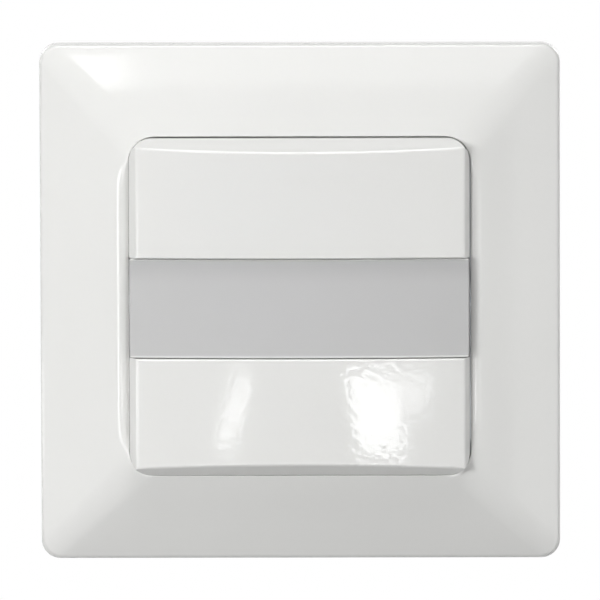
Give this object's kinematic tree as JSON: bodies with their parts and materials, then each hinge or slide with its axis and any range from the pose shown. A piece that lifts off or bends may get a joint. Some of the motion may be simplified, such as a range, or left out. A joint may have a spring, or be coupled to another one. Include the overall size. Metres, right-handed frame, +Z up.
{
  "type": "motion sensor light switch",
  "caption": "Flush wall switch with a full-width infrared motion lens between two glossy plates, in a square sloped cover frame, with a claw-held mechanism behind.",
  "frame": {"origin": "on the wall plane, midway between the box screws, behind the middle of the front", "axes": "+Z up, +X to the right seen from the front, front towards -Y, into the wall +Y"},
  "size_m": [0.084, 0.0401, 0.084],
  "materials": {
    "gloss_white": "glossy moulded",
    "lens_milky": "milky, satin",
    "holder_plastic": "matt moulded",
    "zinc_steel": "zinc plated",
    "housing_front_plastic": "matt moulded",
    "housing_rear_plastic": "matt moulded",
    "screw_steel": "zinc plated",
    "board": "solder-mask green",
    "dark_plastic": "matt black",
    "can_metal": "nickel plated",
    "filter_window": "dark filter",
    "led_red": "clear red",
    "cell": "coated",
    "trimmer_blue": "moulded",
    "rotor_white": "moulded",
    "relay_case": "moulded",
    "film_case": "moulded",
    "sleeve": "shrunk sleeve",
    "varistor_coat": "dipped",
    "resistor_coat": "coated",
    "terminal_plastic": "moulded",
    "contact_brass": "tinned",
    "cage_steel": "nickel plated"
  },
  "bodies": {
    "mechanism": {"support_plate": "zinc_steel", "housing_front": "housing_front_plastic", "housing_rear": "housing_rear_plastic", "housing_screws": "screw_steel", "sensor_board": "board", "power_board": "board", "board_header": "dark_plastic", "pir_sensor": "can_metal", "pir_window": "filter_window", "indicator_led": "led_red", "light_sensor": "cell", "control_chip": "dark_plastic", "time_trimmer_base": "trimmer_blue", "lux_trimmer_base": "trimmer_blue", "relay": "relay_case", "film_capacitor": "film_case", "electrolytic_capacitor": "sleeve", "varistor": "varistor_coat", "fusible_resistor": "resistor_coat", "terminal_block": "terminal_plastic", "terminal_contacts": "contact_brass", "claw_pins": "screw_steel"},
    "frame": {"cover_frame": "gloss_white"},
    "cover": {"front_cover": "gloss_white", "lens": "lens_milky", "lens_holder": "holder_plastic"},
    "time_trimmer": {"time_trimmer_rotor": "rotor_white"},
    "lux_trimmer": {"lux_trimmer_rotor": "rotor_white"},
    "left_claw_screw": {"claw_screw_left": "screw_steel"},
    "right_claw_screw": {"claw_screw_right": "screw_steel"},
    "left_claw": {"claw_left": "zinc_steel"},
    "right_claw": {"claw_right": "zinc_steel"},
    "clamp_screw_1": {"terminal_screw_1": "screw_steel"},
    "clamp_cage_1": {"terminal_cage_1": "cage_steel"},
    "clamp_screw_2": {"terminal_screw_2": "screw_steel"},
    "clamp_cage_2": {"terminal_cage_2": "cage_steel"},
    "clamp_screw_3": {"terminal_screw_3": "screw_steel"},
    "clamp_cage_3": {"terminal_cage_3": "cage_steel"}
  },
  "joints": [
    {"name": "frame_pull", "type": "slide", "parent": "mechanism", "child": "frame", "axis": [0, -1, 0], "range_m": [0, 0.02]},
    {"name": "cover_pull", "type": "slide", "parent": "mechanism", "child": "cover", "axis": [0, -1, 0], "range_m": [0, 0.025]},
    {"name": "time_turn", "type": "hinge", "parent": "mechanism", "child": "time_trimmer", "pos_m": [-0.0065, 0, -0.014], "axis": [0, 1, 0], "range_deg": [-135, 135]},
    {"name": "lux_turn", "type": "hinge", "parent": "mechanism", "child": "lux_trimmer", "pos_m": [0.0065, 0, -0.014], "axis": [0, 1, 0], "range_deg": [-135, 135]},
    {"name": "left_claw_screw_turn", "type": "hinge", "parent": "mechanism", "child": "left_claw_screw", "pos_m": [-0.025, 0, 0], "axis": [0, 1, 0], "range_deg": [0, 1000]},
    {"name": "left_claw_swing", "type": "hinge", "parent": "mechanism", "child": "left_claw", "pos_m": [-0.0213, 0.0045, 0], "axis": [0, 0, 1], "range_deg": [0, 25]},
    {"name": "right_claw_screw_turn", "type": "hinge", "parent": "mechanism", "child": "right_claw_screw", "pos_m": [0.025, 0, 0], "axis": [0, 1, 0], "range_deg": [0, 1000]},
    {"name": "right_claw_swing", "type": "hinge", "parent": "mechanism", "child": "right_claw", "pos_m": [0.0213, 0.0045, 0], "axis": [0, 0, -1], "range_deg": [0, 25]},
    {"name": "clamp_screw_1_turn", "type": "hinge", "parent": "mechanism", "child": "clamp_screw_1", "pos_m": [-0.00508, 0, -0.01685], "axis": [0, -1, 0], "range_deg": [0, 1728.01]},
    {"name": "clamp_cage_1_lift", "type": "slide", "parent": "mechanism", "child": "clamp_cage_1", "axis": [0, 1, 0], "range_m": [0, 0.0024]},
    {"name": "clamp_screw_2_turn", "type": "hinge", "parent": "mechanism", "child": "clamp_screw_2", "pos_m": [0, 0, -0.01685], "axis": [0, -1, 0], "range_deg": [0, 1728.01]},
    {"name": "clamp_cage_2_lift", "type": "slide", "parent": "mechanism", "child": "clamp_cage_2", "axis": [0, 1, 0], "range_m": [0, 0.0024]},
    {"name": "clamp_screw_3_turn", "type": "hinge", "parent": "mechanism", "child": "clamp_screw_3", "pos_m": [0.00508, 0, -0.01685], "axis": [0, -1, 0], "range_deg": [0, 1728.01]},
    {"name": "clamp_cage_3_lift", "type": "slide", "parent": "mechanism", "child": "clamp_cage_3", "axis": [0, 1, 0], "range_m": [0, 0.0024]}
  ],
  "couplings": [
    {"joint": "left_claw_swing", "follows": "left_claw_screw_turn", "ratio": 0.025},
    {"joint": "right_claw_swing", "follows": "right_claw_screw_turn", "ratio": 0.025},
    {"joint": "clamp_screw_1_turn", "follows": "clamp_cage_1_lift", "rad_per_m": 12566},
    {"joint": "clamp_screw_2_turn", "follows": "clamp_cage_2_lift", "rad_per_m": 12566},
    {"joint": "clamp_screw_3_turn", "follows": "clamp_cage_3_lift", "rad_per_m": 12566}
  ]
}
